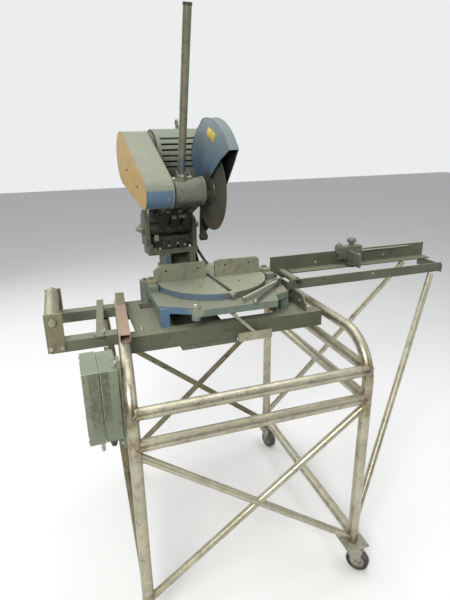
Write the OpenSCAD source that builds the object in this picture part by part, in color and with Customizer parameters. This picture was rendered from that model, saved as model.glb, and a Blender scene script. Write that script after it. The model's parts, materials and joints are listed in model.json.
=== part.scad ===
// Abrasive mitre saw on a welded tube stand.
// Millimetres. +X runs along the feed from infeed to outfeed, +Y to the back, +Z up.
// Origin: the floor under the front left leg.

/* [Stand] */
// Distance between the left and right leg axes
stand_w = 780; // [700:1:860]
// Distance between the front and rear leg axes
stand_d = 820; // [740:1:900]
// How far the rear left leg stands in towards the right
left_toe = 70; // [0:1:80]
// Outside diameter of the frame tube
tube_d = 38.1; // [33:0.1:42.4]
// Wall of the frame tube
tube_wall = 2; // [1.5:0.1:3]
// Height of the axis of the bent top tube
top_z = 949; // [900:1:1000]
// Bend radius of the side frames at the tube axis
bend_r = 150; // [120:1:180]
// Height of the upper rails
rail_hi = 846; // [820:1:860]
// Height of the lower rails
rail_lo = 740; // [700:1:760]
// Outside diameter of the cross braces
brace_d = 25.4; // [19:0.1:27]

/* [Casters] */
// Radius of the caster wheels
wheel_r = 42; // [38:1:50]
// Width of the caster wheels
wheel_w = 30; // [20:1:32]
// Underside of the right legs, on top of the caster plates
plate_z = 122; // [112:1:130]
// Trail of the caster wheels behind the swivel
caster_trail = 26; // [15:1:35]

/* [Bench] */
// Top of the bench beams
beam_z = 958; // [930:1:980]
// Height of the bench beams
beam_h = 58; // [50:1:70]
// Width of the bench beams
beam_w = 50; // [40:1:60]
// Front face of the front beam
beam_front_y = 285; // [270:1:300]
// Front face of the rear beam
beam_rear_y = 600; // [580:1:620]

/* [Saw] */
// Working height of the saw table
table_z = 1055; // [1030:1:1080]
// Centre of the turntable along the feed
saw_x = 408; // [400:1:415]
// Centre of the turntable from the front legs
saw_y = 545; // [535:1:555]
// Radius of the turntable
turn_r = 214; // [205:1:216]
// Mitre angle the saw rests at
mitre = 4; // [0:0.5:6]
// Radius of the cutting disc
blade_r = 145; // [140:0.5:158]
// Thickness of the cutting disc
blade_t = 3; // [2.5:0.1:3.5]
// Length of the pull handle
handle_len = 522; // [480:1:560]
// Forward lean of the pull handle
handle_lean = 14.5; // [10:0.5:18]

/* [Hidden] */
$fn = 64;
tr = tube_d / 2;
bend_z = top_z - bend_r;
arbor_y = -30;
arbor_z = 340;
motor_y = 275;
motor_z = 445;
pin_y = 215;
pin_z = 172;
blade_x = -3;
handle_x = -119;
toe_a = atan2(left_toe, stand_d);
rear_left = [stand_d * sin(toe_a), stand_d * cos(toe_a)];
fit = 0.05;

// ---- placing helpers ----

// Stands the children's z axis along the line from p to q
module along(p, q) {
  v = q - p;
  translate(p)
    rotate([0, acos(v[2] / norm(v)), atan2(v[1], v[0])])
      children();
}

// Round bar from p to q
module bar(p, q, d) {
  along(p, q)
    cylinder(h = norm(q - p), d = d);
}

// Open tube from p to q
module pipe(p, q, d, wall) {
  along(p, q)
    difference() {
      cylinder(h = norm(q - p), d = d);
      translate([0, 0, -5])
        cylinder(h = norm(q - p) + 10, d = d - 2 * wall);
    }
}

// Box between two corners
module box(a, b) {
  translate(a)
    cube(b - a);
}

// Extrudes a (y, z) profile from x0 to x1
module run_x(x0, x1) {
  translate([x0, 0, 0])
    rotate([90, 0, 90])
      linear_extrude(height = x1 - x0)
        children();
}

// Cylinder along x
module disc_x(x0, x1, y, z, r) {
  translate([x0, y, z])
    rotate([0, 90, 0])
      cylinder(h = x1 - x0, r = r);
}

// Cylinder along y
module disc_y(y0, y1, x, z, r) {
  translate([x, y1, z])
    rotate([90, 0, 0])
      cylinder(h = y1 - y0, r = r);
}

// Saw base frame: turntable centre, square to the stand
module at_saw() {
  translate([saw_x, saw_y, table_z])
    children();
}

// Head frame: turntable centre, turned to the mitre angle
module at_turn() {
  at_saw()
    rotate([0, 0, mitre])
      children();
}

// Left side frame, turned about its front leg
module at_left() {
  rotate([0, 0, -toe_a])
    children();
}

// ---- stand ----

// Bent side frame as a round core of diameter d
module frame_core(x, z0, d, over) {
  translate([x, 0, z0 - over])
    cylinder(h = bend_z - z0 + over, d = d);
  translate([x, stand_d, z0 - over])
    cylinder(h = bend_z - z0 + over, d = d);
  translate([x, 0, 0])
    rotate([90, 0, 90]) {
      translate([bend_r, bend_z, 0])
        rotate([0, 0, 90])
          rotate_extrude(angle = 90)
            translate([bend_r, 0])
              circle(d = d);
      translate([stand_d - bend_r, bend_z, 0])
        rotate_extrude(angle = 90)
          translate([bend_r, 0])
            circle(d = d);
    }
  translate([x, bend_r, top_z])
    rotate([-90, 0, 0])
      cylinder(h = stand_d - 2 * bend_r, d = d);
}

module side_frame(x, z0) {
  color("silver")
    difference() {
      frame_core(x, z0, tube_d, 0);
      frame_core(x, z0, tube_d - 2 * tube_wall, 5);
    }
}

module side_frame_left() {
  at_left()
    side_frame(0, 10);
}

module side_frame_right() {
  side_frame(stand_w, plate_z);
}

// Rail across the front, saddled onto both side frames
module front_rail(z) {
  color("silver")
    difference() {
      pipe([6, 0, z], [stand_w - 6, 0, z], tube_d, tube_wall);
      at_left()
        frame_core(0, 300, tube_d, 0);
      frame_core(stand_w, 300, tube_d, 0);
    }
}

module front_rail_upper() {
  front_rail(rail_hi);
}

module front_rail_lower() {
  front_rail(rail_lo);
}

// Upper and lower rails of the side frame at x = 0, their front ends
// cut at angle a to clear the rails across the front
module side_rail_pair(a) {
  for (z = [rail_hi, rail_lo])
    difference() {
      pipe([0, tr - 3, z], [0, stand_d - tr - 0.3, z], tube_d, tube_wall);
      frame_core(0, 300, tube_d, 0);
      rotate([0, 0, a])
        box([-60, -20, z - 30], [60, tr + 0.15, z + 30]);
    }
}

module side_rails() {
  color("silver") {
    at_left()
      side_rail_pair(toe_a);
    translate([stand_w, 0, 0])
      side_rail_pair(0);
  }
}

// Braces from the feet of the left legs up to the infeed rails
module infeed_braces() {
  color("silver") {
    difference() {
      pipe([0, 0, 128], [-26.1, 328.7, 919], brace_d, 1.6);
      cylinder(h = 500, d = tube_d);
    }
    difference() {
      pipe([rear_left[0], rear_left[1], 128], [-5.5, 607, 917], brace_d, 1.6);
      translate([rear_left[0], rear_left[1], 0])
        cylinder(h = 500, d = tube_d);
    }
  }
}

module bottom_rail_right() {
  color("silver")
    difference() {
      pipe([stand_w, 14, 152], [stand_w, stand_d - 14, 152], tube_d, tube_wall);
      for (y = [0, stand_d])
        translate([stand_w, y, 60])
          cylinder(h = 200, d = tube_d);
    }
}

// Diagonal brace from p to q, coped to the legs it joins
module cross_brace(p, q) {
  difference() {
    pipe(p, q, brace_d, 1.6);
    for (c = [p, q])
      translate([c[0], c[1], 0])
        cylinder(h = 799, d = tube_d);
  }
}

// Second brace of a crossing pair: cut away where the first one, a to b, passes
module cut_brace(p, q, a, b) {
  difference() {
    cross_brace(p, q);
    bar(a, b, brace_d + 0.2);
  }
}

module front_brace_a() {
  color("silver")
    cross_brace([0, 0, 712], [stand_w, 0, 134]);
}

module front_brace_b() {
  color("silver")
    cut_brace([0, 0, 138], [stand_w, 0, 712], [0, 0, 712], [stand_w, 0, 134]);
}

module rear_brace_a() {
  color("silver")
    cross_brace([rear_left[0], rear_left[1], 705], [stand_w, stand_d, 134]);
}

module rear_brace_b() {
  color("silver")
    cut_brace([rear_left[0], rear_left[1], 126], [stand_w, stand_d, 752],
      [rear_left[0], rear_left[1], 705], [stand_w, stand_d, 134]);
}

module leg_feet() {
  color("dimgray")
    at_left()
      for (y = [0, stand_d])
        translate([0, y, 0]) {
          cylinder(h = 10, d = 48);
          cylinder(h = 35, d = tube_d - 2 * tube_wall - 0.2);
        }
}

// ---- casters ----

module caster_plates() {
  color("gray")
    for (y = [0, stand_d])
      difference() {
        box([stand_w - 45, y - 45, plate_z - 6], [stand_w + 45, y + 45, plate_z]);
        for (dx = [-34, 34])
          for (dy = [-34, 34])
            translate([stand_w + dx, y + dy, plate_z - 10])
              cylinder(h = 20, d = 9);
      }
}

// Swivel fork with its axle, trailing along local +x
module caster_fork() {
  color("gray")
    union() {
      translate([0, 0, plate_z - 17])
        cylinder(h = 10.6, r = 27);
      box([-20, -wheel_w / 2 - 5, plate_z - 21], [46, wheel_w / 2 + 5, plate_z - 17]);
      for (s = [-1, 1])
        translate([0, s * (wheel_w / 2 + 3.5) + 1.5, 0])
          rotate([90, 0, 0])
            linear_extrude(height = 3)
              polygon([[-20, plate_z - 18], [46, plate_z - 18], [40, 60],
                [caster_trail + 12, wheel_r - 10], [caster_trail - 12, wheel_r - 10],
                [-12, plate_z - 40]]);
      disc_y(-wheel_w / 2 - 10, wheel_w / 2 + 10, caster_trail, wheel_r, 5);
      disc_y(-wheel_w / 2 - 10, -wheel_w / 2 - 4, caster_trail, wheel_r, 9);
      disc_y(wheel_w / 2 + 4, wheel_w / 2 + 10, caster_trail, wheel_r, 9);
    }
}

module caster_wheel() {
  color("black")
    translate([caster_trail, 0, wheel_r])
      rotate([90, 0, 0])
        rotate_extrude()
          polygon([[5 + fit, -wheel_w / 2], [14, -wheel_w / 2], [16, -wheel_w / 2 + 4],
            [30, -wheel_w / 2 + 4], [32, -wheel_w / 2], [wheel_r - 3, -wheel_w / 2],
            [wheel_r, -wheel_w / 2 + 5], [wheel_r, wheel_w / 2 - 5],
            [wheel_r - 3, wheel_w / 2], [32, wheel_w / 2], [30, wheel_w / 2 - 4],
            [16, wheel_w / 2 - 4], [14, wheel_w / 2], [5 + fit, wheel_w / 2]]);
}

module at_caster_front() {
  translate([stand_w, 0, 0])
    rotate([0, 0, -50])
      children();
}

module at_caster_rear() {
  translate([stand_w, stand_d, 0])
    rotate([0, 0, -77])
      children();
}

module caster_fork_front() {
  at_caster_front()
    caster_fork();
}

module caster_fork_rear() {
  at_caster_rear()
    caster_fork();
}

module caster_wheel_front() {
  at_caster_front()
    caster_wheel();
}

module caster_wheel_rear() {
  at_caster_rear()
    caster_wheel();
}

// ---- bench ----

// Bench beam with its front face at y, coped to the side tubes
module bench_beam(y) {
  difference() {
    box([10, y, beam_z - beam_h], [stand_w - tr - 0.1, y + beam_w, beam_z]);
    box([5, y + 4, beam_z - beam_h + 4], [stand_w, y + beam_w - 4, beam_z - 4]);
    at_left() {
      frame_core(0, 300, tube_d, 0);
      box([-60, 100, beam_z - beam_h - 5], [0, 800, beam_z + 5]);
    }
  }
}

module front_beam() {
  color("darkolivegreen")
    bench_beam(beam_front_y);
}

module rear_beam() {
  color("darkolivegreen")
    bench_beam(beam_rear_y);
}

module saddle_plates() {
  color("darkkhaki") {
    difference() {
      box([72, beam_front_y + beam_w, beam_z - 8], [205, beam_rear_y, beam_z]);
      box([125, 545, beam_z - 9], [206, beam_rear_y + 1, beam_z + 1]);
    }
    box([590, beam_front_y + beam_w, beam_z - 8], [730, beam_rear_y, beam_z]);
  }
}

// Infeed angle with its upright leg at y and a flange of width w behind it
module infeed_angle(y, w, x1) {
  difference() {
    run_x(-205, x1)
      polygon([[y, beam_z - 38], [y + 5, beam_z - 38], [y + 5, beam_z - 5],
        [y + w, beam_z - 5], [y + w, beam_z], [y, beam_z]]);
    at_left()
      frame_core(0, 300, tube_d, 0);
  }
}

module infeed_rails() {
  color("darkkhaki") {
    infeed_angle(331, 47, 20);
    infeed_angle(600, 45, 40);
  }
}

module infeed_brackets() {
  color("darkkhaki") {
    difference() {
      box([-214, 325, 925], [-157, 331, 1058]);
      disc_y(324, 332, -190, 1031, 8 + fit);
    }
    difference() {
      box([-214, 645, 925], [-157, 651, 1044]);
      disc_y(644, 652, -190, 1031, 8 + fit);
    }
  }
}

module infeed_roller() {
  color("lightgray")
    difference() {
      disc_y(341, 635, -190, 1031, 24);
      disc_y(340, 636, -190, 1031, 8 + fit);
    }
}

module outfeed_roller() {
  color("lightgray")
    difference() {
      disc_y(408, 546, 716, 1044, 14);
      disc_y(407, 547, 716, 1044, 6 + fit);
    }
}

module roller_axles() {
  color("gray") {
    union() {
      disc_y(318, 658, -190, 1031, 8);
      disc_y(316, 325, -190, 1031, 12);
      disc_y(651, 660, -190, 1031, 12);
    }
    union() {
      disc_y(390, 560, 716, 1044, 6);
      disc_y(389, 397, 716, 1044, 9);
      disc_y(554, 561, 716, 1044, 9);
    }
  }
}

module cross_bar_flat() {
  color("darkkhaki")
    translate([-48, 320, beam_z])
      rotate([0, 0, -5])
        translate([-13, 0, 0])
          cube([26, 378, 6]);
}

// Open ended box bar lying on the left side tube
module cross_bar_box() {
  color("tan")
    translate([25, 232, top_z + tr])
      rotate([0, 0, -4.7])
        difference() {
          box([-17, 0, 0.1], [17, 436, 26]);
          box([-14.5, -1, 2.6], [14.5, 437, 23.5]);
        }
}

module coolant_tray() {
  color("darkkhaki")
    difference() {
      box([222, 290, beam_z - beam_h - 20], [424, 640, beam_z - beam_h]);
      box([224, 292, beam_z - beam_h - 18], [422, 638, beam_z - beam_h + 1]);
    }
}

// ---- outfeed ----

module outfeed_front_rail() {
  color("darkolivegreen")
    difference() {
      run_x(678, 1400)
        polygon([[397, 1015], [437, 1015], [437, 1020], [402, 1020], [402, 1053], [397, 1053]]);
      disc_y(390, 410, 716, 1044, 6 + fit);
      disc_y(390, 410, 1057, 1040, 4.5);
    }
}

module outfeed_fence() {
  color("darkolivegreen")
    difference() {
      union() {
        run_x(740, 1425)
          polygon([[500, 1045], [554, 1045], [554, 1108], [548, 1108], [548, 1050], [500, 1050]]);
        box([665, 548, 1016], [740, 554, 1108]);
      }
      disc_y(540, 560, 716, 1044, 6 + fit);
      disc_y(540, 560, 874, 1070, 4.5);
      disc_y(540, 560, 1214, 1070, 4.5);
    }
}

module outfeed_cross_bars() {
  color("darkolivegreen")
    for (x = [672, 1400])
      box([x, 397, 1010], [x + 6, 547, 1044.5]);
}

module outfeed_brackets() {
  color("darkolivegreen") {
    run_x(697, 703)
      polygon([[300, beam_z], [440, beam_z], [440, 1015], [330, 1015], [300, 988]]);
    difference() {
      run_x(697, 703)
        polygon([[560, beam_z], [640, beam_z], [640, 990], [600, 1040], [554, 1040],
          [554, 1010], [560, 1010]]);
      disc_y(550, 580, 716, 1044, 12);
    }
  }
}

// Outfeed brace between two points, held clear of the leg it runs down to
module outfeed_brace_front() {
  color("silver")
    difference() {
      pipe([stand_w, 0, 200], [1350.6, 399.8, 1005.5], brace_d, 1.6);
      translate([stand_w, 0, 60])
        cylinder(h = 500, d = tube_d);
    }
}

module outfeed_brace_rear() {
  color("silver")
    difference() {
      pipe([stand_w, stand_d, 185], [1294.3, 514.2, 1037.3], brace_d, 1.6);
      translate([stand_w, stand_d, 60])
        cylinder(h = 500, d = tube_d);
    }
}

// Length stop: saddle over the fence with its end plate
module stop_block() {
  color("darkslategray")
    difference() {
      union() {
        box([975, 532, 1072], [1088, 568, 1126]);
        box([1020, 446, 1053], [1028, 533, 1108]);
        translate([988, 556, 1066])
          cylinder(h = 66, r = 13);
      }
      box([970, 547.6, 1050], [1100, 554.4, 1108.4]);
      box([970, 554.3, 1050], [1001.5, 569.5, 1070]);
      disc_x(1019, 1029, 470, 1088, 4);
      disc_x(1019, 1029, 470, 1067, 4);
      translate([1052, 561, 1110])
        cylinder(h = 20, r = 5 + fit);
      disc_x(960, 1095, 540, 1101, 4 + fit);
    }
}

module stop_knob() {
  color("black") {
    translate([1052, 561, 1112])
      cylinder(h = 22, r = 5);
    translate([1052, 561, 1128])
      cylinder(h = 8, r = 9);
    translate([1052, 561, 1134])
      cylinder(h = 20, r = 15);
  }
}

module stop_rod() {
  color("lightgray") {
    disc_x(968, 1336, 540, 1101, 4);
    disc_x(1088.6, 1102, 540, 1101, 7);
  }
}

// ---- saw base and table ----

module saw_base() {
  color("steelblue")
    at_saw()
      difference() {
        union() {
          translate([0, 0, -48.5])
            linear_extrude(height = 25)
              polygon([[-251, 62], [-251, -196], [-150, -250], [-140, -285], [160, -285],
                [178, -228], [238, -200], [250, -135], [250, 62], [120, 95], [-120, 95]]);
          box([-8, -175, -74], [8, -160, -48]);
          box([-251, -45, -30], [-218, 42, 0]);
          box([218, -45, -30], [254, 42, 0]);
          box([-248, -214, -97], [-216, -180, -30]);
          box([216, -192, -97], [246, -150, -30]);
          for (x = [-250, 250])
            translate([x, 72, -97])
              cylinder(h = 91, r = 20);
          translate([-137, -268, -62])
            cylinder(h = 50, r = 15);
          translate([232, -128, -30])
            cylinder(h = 18, r = 14);
        }
        translate([0, 0, -60])
          cylinder(h = 50, r = 150);
        translate([232, -128, -40])
          cylinder(h = 50, r = 6 + fit);
        translate([-137, -268, -20])
          cylinder(h = 10, r = 6);
        disc_y(-176, -159, 0, -61, 6 + fit);
      }
}

module turntable() {
  color("darkseagreen")
    at_turn()
      difference() {
        union() {
          translate([0, 0, -23])
            cylinder(h = 23, r = turn_r);
          box([-142, 110, -22.5], [12, 264, 0]);
        }
        box([-7, -205, -30], [7, 50, 5]);
        translate([0, 0, -23.5])
          cylinder(h = 8, r = 140);
        disc_y(-220, -200, 0, -11, 6 + fit);
      }
}

module fence_left() {
  color("darkseagreen")
    at_saw()
      difference() {
        union() {
          translate([0, 14, 0])
            rotate([90, 0, 0])
              linear_extrude(height = 14)
                polygon([[-219, 0.6], [-20, 0.6], [-20, 62], [-27, 65], [-196, 65], [-206, 58],
                  [-219, 50]]);
          box([-250, -12, 0], [-219, 38, 12]);
          box([-220, 0, 0.6], [-216, 38, 40]);
        }
        disc_y(-5, 20, -178, 42, 4);
        disc_y(-5, 20, -52, 42, 4);
      }
}

module fence_right() {
  color("darkseagreen")
    at_saw()
      difference() {
        union() {
          translate([0, 14, 0])
            rotate([90, 0, 0])
              linear_extrude(height = 14)
                polygon([[18, 0.6], [205, 0.6], [205, 52], [196, 63], [40, 65], [18, 60]]);
          box([218.5, -12, 0], [252, 38, 12]);
          box([200, 0, 0.6], [219, 14, 14]);
        }
        disc_y(-5, 20, 60, 44, 4);
        disc_y(-5, 20, 160, 44, 4);
      }
}

module mitre_plunger() {
  color("gray")
    at_turn() {
      disc_y(-219, -204, 0, -11, 6);
      disc_y(-230, -217, 0, -11, 9);
    }
}

module clamp_lever() {
  color("lightgray")
    at_saw() {
      translate([232, -128, -34])
        cylinder(h = 40, r = 6);
      translate([232, -128, -11.7])
        cylinder(h = 16, r = 15);
      bar([232, -128, -4], [38, -263, -8], 11);
      bar([236, -132, -6], [68, -296, -12], 9);
    }
}

module release_handle() {
  color("lightgray") {
    disc_y(271, 450, 408, 994, 6);
    translate([408, 271, 994])
      sphere(r = 8);
    bar([408, 271, 994], [484, 268, 918], 12);
    box([420, 262, 892], [548, 274, 922]);
  }
}

// ---- head ----

module yoke() {
  color("olivedrab")
    at_turn()
      difference() {
        union() {
          box([-142, 150, 0], [10, 262, 12]);
          box([-134, 165, 11], [-110, 262, 68]);
          box([-28, 165, 11], [-2, 262, 68]);
          box([-188, 172, 67], [10, 262, 86]);
          box([-198, 172, 67], [-180, 256, 112]);
          box([-190, 236, 85], [-6, 246, 130]);
          box([-111, 246, 11], [-27, 262, 68]);
          run_x(-206, -188)
            polygon([[178, 104], [252, 104], [256, 172], [246, 226], [215, 250], [186, 226],
              [174, 172]]);
          run_x(-8, 10)
            polygon([[180, 67], [250, 67], [252, 172], [240, 204], [215, 214], [190, 204],
              [178, 172]]);
          disc_x(-212, -188, pin_y, pin_z, 26);
        }
        disc_x(-220, 20, pin_y, pin_z, 12 + fit);
        box([-109, 190, -1], [-29, 240, 13]);
      }
}

module pivot_pin() {
  color("gray")
    at_turn() {
      disc_x(-230, 18, pin_y, pin_z, 12);
      disc_x(-222, -212.2, pin_y, pin_z, 17);
      disc_x(10.2, 20, pin_y, pin_z, 17);
    }
}

module head_arm() {
  color("darkslategray")
    at_turn()
      difference() {
        union() {
          disc_x(-184, -12, pin_y, pin_z, 25);
          for (x = [[-184, -131], [-123, -79], [-73, -36], [-30, -12]])
            disc_x(x[0], x[1], pin_y, pin_z, 31);
          for (x = [-150, -101, -54])
            run_x(x, x + 34)
              polygon([[186, 166], [244, 172], [262, 250], [250, 328], [60, 328], [-58, 318],
                [-52, 292], [60, 268], [130, 236]]);
          run_x(-146, -20)
            polygon([[-62, 300], [-8, 286], [40, 300], [70, 328], [-66, 328]]);
          box([-148, 60, 318], [100, 372, 334]);
        }
        disc_x(-200, 0, pin_y, pin_z, 12 + fit);
        disc_x(-200, 20, arbor_y, arbor_z, 46);
        disc_x(-49, 40, arbor_y, arbor_z, 60);
        box([-10, -200, 200], [110, 170, 400]);
      }
}

module spindle_housing() {
  color("darkseagreen")
    at_turn()
      difference() {
        union() {
          disc_x(-152, -42, arbor_y, arbor_z, 46);
          disc_x(-155, -150, arbor_y, arbor_z, 34);
          disc_x(-48, -37, arbor_y, arbor_z, 50);
          translate([handle_x, arbor_y, arbor_z])
            rotate([handle_lean, 0, 0])
              cylinder(h = 58, r = 20);
        }
        disc_x(-160, 0, arbor_y, arbor_z, 15 + fit);
        translate([handle_x, arbor_y, arbor_z])
          rotate([handle_lean, 0, 0])
            translate([0, 0, 28])
              cylinder(h = 40, r = 13.45 + fit);
      }
}

module spindle() {
  color("silver")
    at_turn()
      translate([0, arbor_y, arbor_z])
        rotate([0, 90, 0]) {
          translate([0, 0, -244])
            cylinder(h = 260, r = 12.7);
          translate([0, 0, -160])
            cylinder(h = 148, r = 15);
          translate([0, 0, -230])
            rotate_extrude()
              polygon([[12, 0], [40, 0], [40, 8], [32, 13], [32, 17], [40, 22], [40, 30],
                [12, 30]]);
          translate([0, 0, blade_x - 9.6])
            cylinder(h = 8.1, r = 29);
          translate([0, 0, blade_x + 1.5])
            cylinder(h = 7, r = 29);
          translate([0, 0, blade_x + 8])
            cylinder(h = 10, r = 18, $fn = 6);
        }
}

module blade() {
  color("dimgray")
    at_turn()
      difference() {
        disc_x(blade_x - blade_t / 2, blade_x + blade_t / 2, arbor_y, arbor_z, blade_r);
        disc_x(-15, 5, arbor_y, arbor_z, 12.7);
      }
}

// Side outline of the blade guard, r the hood radius
module hood(r, back) {
  polygon(concat(
    [for (a = [144:-3:81]) [arbor_y + r * cos(a), arbor_z + r * sin(a)]],
    [[back - 70, arbor_z + 208], [back - 28, arbor_z + 170], [back - 4, arbor_z + 138],
      [back, arbor_z + 110], [back - 10, arbor_z + 74], [back - 34, arbor_z + 42],
      [arbor_y + 40, arbor_z + 30], [arbor_y - 6, arbor_z + 30],
      [-84, arbor_z + 68], [-150, arbor_z + 110]]));
}

module blade_guard() {
  color("steelblue")
    at_turn()
      difference() {
        union() {
          run_x(-15, 19)
            hood(246, 138);
          run_x(16.5, 19)
            polygon([[-228, 484], [-194, 440], [-140, 378], [-62, 296], [0, 226], [62, 178],
              [103, 161], [139, 210], [150, 262], [152, 330], [146, 395], [132, 450], [0, 500]]);
          disc_x(-15, -12.5, arbor_y, arbor_z, 48);
          disc_x(-31, -13, arbor_y, arbor_z, 35.5);
          disc_x(-36.9, -31, arbor_y, arbor_z, 40);
        }
        run_x(-12.5, 16.5)
          union() {
            hood(243.5, 135.5);
            polygon([[-300, 200], [160, 200], [160, 440], [124, 440], [6, 372], [-36, 370],
              [-84, 410], [-150, 452], [-226, 484], [-300, 500]]);
          }
        disc_x(-40, -5, arbor_y, arbor_z, 32);
        disc_x(10, 25, arbor_y, arbor_z, 34);
      }
}

module motor_body() {
  color("darkseagreen")
    at_turn()
      translate([0, motor_y, motor_z])
        difference() {
          union() {
            disc_x(-138, 62, 0, 0, 108);
            disc_x(-150, -136, 0, 0, 96);
            disc_x(-155, -148, 0, 0, 40);
            disc_x(62, 68, 0, 0, 98);
            disc_x(66, 124, 0, 0, 106);
            box([-118, -82, -111], [44, 82, -80]);
            translate([-23, 0, 100])
              cylinder(h = 18, r = 9);
            translate([-26.5, 0, 128])
              rotate([0, 90, 0])
                rotate_extrude()
                  translate([13, 0])
                    circle(r = 4);
          }
          for (z = [-33:21:72])
            for (s = [-1, 1])
              translate([-122, s * 110 - 36, z - 3.5])
                cube([170, 72, 7]);
          disc_x(-160, 71, 0, 0, 14 + fit);
          disc_x(-122, 42, 0, 0, 78);
          disc_x(70, 122, 0, 0, 100);
        }
}

module motor_shaft() {
  color("silver")
    at_turn()
      translate([0, motor_y, motor_z])
        rotate([0, 90, 0]) {
          translate([0, 0, -240])
            cylinder(h = 346, r = 14);
          translate([0, 0, -108])
            cylinder(h = 136, r = 62);
          translate([0, 0, 84])
            cylinder(h = 14, r = 90);
          translate([0, 0, -230])
            rotate_extrude()
              polygon([[13, 0], [82, 0], [82, 8], [74, 13], [74, 17], [82, 22], [82, 30],
                [70, 30], [66, 20], [26, 20], [24, 30], [13, 30]]);
        }
}

// Outline round the two shafts at the given radii
module two_round(r1, r2) {
  dy = motor_y - arbor_y;
  dz = motor_z - arbor_z;
  n = norm([dy, dz]);
  a = atan2(dz, dy);
  b = asin((r2 - r1) / n);
  translate([arbor_y, arbor_z])
    circle(r = r1);
  translate([motor_y, motor_z])
    circle(r = r2);
  polygon([
    [arbor_y + r1 * cos(a + 90 + b), arbor_z + r1 * sin(a + 90 + b)],
    [arbor_y + r1 * cos(a - 90 - b), arbor_z + r1 * sin(a - 90 - b)],
    [motor_y + r2 * cos(a - 90 - b), motor_z + r2 * sin(a - 90 - b)],
    [motor_y + r2 * cos(a + 90 + b), motor_z + r2 * sin(a + 90 + b)]]);
}

module v_belt() {
  color("black")
    at_turn()
      run_x(-221, -209)
        difference() {
          two_round(45, 87);
          two_round(40.4, 82.4);
        }
}

module belt_guard() {
  color("tan")
    at_turn()
      difference() {
        run_x(-257, -155)
          two_round(54, 100);
        run_x(-254.5, -157.5)
          two_round(51.5, 97.5);
        disc_x(-160, -150, arbor_y, arbor_z, 30);
        disc_x(-160, -150, motor_y, motor_z, 36);
      }
}

module handle_tube() {
  color("lightgray")
    at_turn()
      translate([handle_x, arbor_y, arbor_z])
        rotate([handle_lean, 0, 0])
          difference() {
            union() {
              translate([0, 0, 30])
                cylinder(h = handle_len + 16, r = 13.45);
              translate([0, 0, 59])
                cylinder(h = 12, r = 20, $fn = 6);
            }
            translate([0, 0, 29])
              cylinder(h = handle_len + 20, r = 10.9);
          }
}

module handle_cap() {
  color("black")
    at_turn()
      translate([handle_x, arbor_y, arbor_z])
        rotate([handle_lean, 0, 0]) {
          translate([0, 0, handle_len + 26])
            cylinder(h = 21, r = 10.85);
          translate([0, 0, handle_len + 46])
            cylinder(h = 8, r = 14.5);
        }
}

// ---- control box ----

module box_body() {
  color("darkseagreen")
    difference() {
      union() {
        box([-74, 54, 738], [-23.1, 198, 966]);
        box([-23.2, 62, 700], [-14, 92, 992]);
        for (y = [90, 140])
          translate([-50, y, 716])
            cylinder(h = 24, r = 10);
        box([-73.8, 197, 800.5], [-68, 204.5, 899.5]);
        translate([-74.5, 204.5, 800.5])
          cylinder(h = 99, r = 4);
        translate([-74.5, 204.5, 764])
          cylinder(h = 172, r = 2);
      }
      box([-80, 57, 741], [-26, 195, 963]);
      for (y = [90, 140])
        translate([-50, y, 700])
          cylinder(h = 50, r = 6);
    }
}

module box_lid() {
  color("darkseagreen")
    difference() {
      union() {
        box([-121, 52, 736], [-75, 200, 968]);
        for (z = [766, 900])
          translate([0, 0, z]) {
            box([-86, 199, 0], [-76, 202, 34]);
            translate([-74.5, 204.5, 0])
              cylinder(h = 34, r = 4);
          }
      }
      box([-118, 55, 739], [-74, 197, 965]);
      translate([-74.5, 204.5, 760])
        cylinder(h = 180, r = 2 + fit);
    }
}

// Hex bolt heads holding the plates
module bolts() {
  color("silver") {
    for (z = [712, 978])
      translate([-23.2, 77, z])
        rotate([0, -90, 0])
          cylinder(h = 6, r = 8, $fn = 6);
    for (y = [345, 415])
      translate([697, y, 982])
        rotate([0, -90, 0])
          cylinder(h = 7, r = 9, $fn = 6);
    for (x = [-235, 236])
      translate([saw_x + x, saw_y + 20, table_z + 12])
        cylinder(h = 8, r = 9, $fn = 6);
    for (x = [-203, -168])
      translate([x, 325, 940])
        rotate([90, 0, 0])
          cylinder(h = 6, r = 8, $fn = 6);
  }
}

side_frame_left();
side_frame_right();
front_rail_upper();
front_rail_lower();
side_rails();
infeed_braces();
bottom_rail_right();
front_brace_a();
front_brace_b();
rear_brace_a();
rear_brace_b();
leg_feet();
caster_plates();
caster_fork_front();
caster_fork_rear();
caster_wheel_front();
caster_wheel_rear();
front_beam();
rear_beam();
saddle_plates();
infeed_rails();
infeed_brackets();
infeed_roller();
outfeed_roller();
roller_axles();
cross_bar_flat();
cross_bar_box();
coolant_tray();
outfeed_front_rail();
outfeed_fence();
outfeed_cross_bars();
outfeed_brackets();
outfeed_brace_front();
outfeed_brace_rear();
stop_block();
stop_knob();
stop_rod();
saw_base();
turntable();
fence_left();
fence_right();
mitre_plunger();
clamp_lever();
release_handle();
yoke();
pivot_pin();
head_arm();
spindle_housing();
spindle();
blade();
blade_guard();
motor_body();
motor_shaft();
v_belt();
belt_guard();
handle_tube();
handle_cap();
box_body();
box_lid();
bolts();
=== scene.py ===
import json
import math
import random

import bmesh
import bpy
from mathutils import Matrix, Vector


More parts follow.
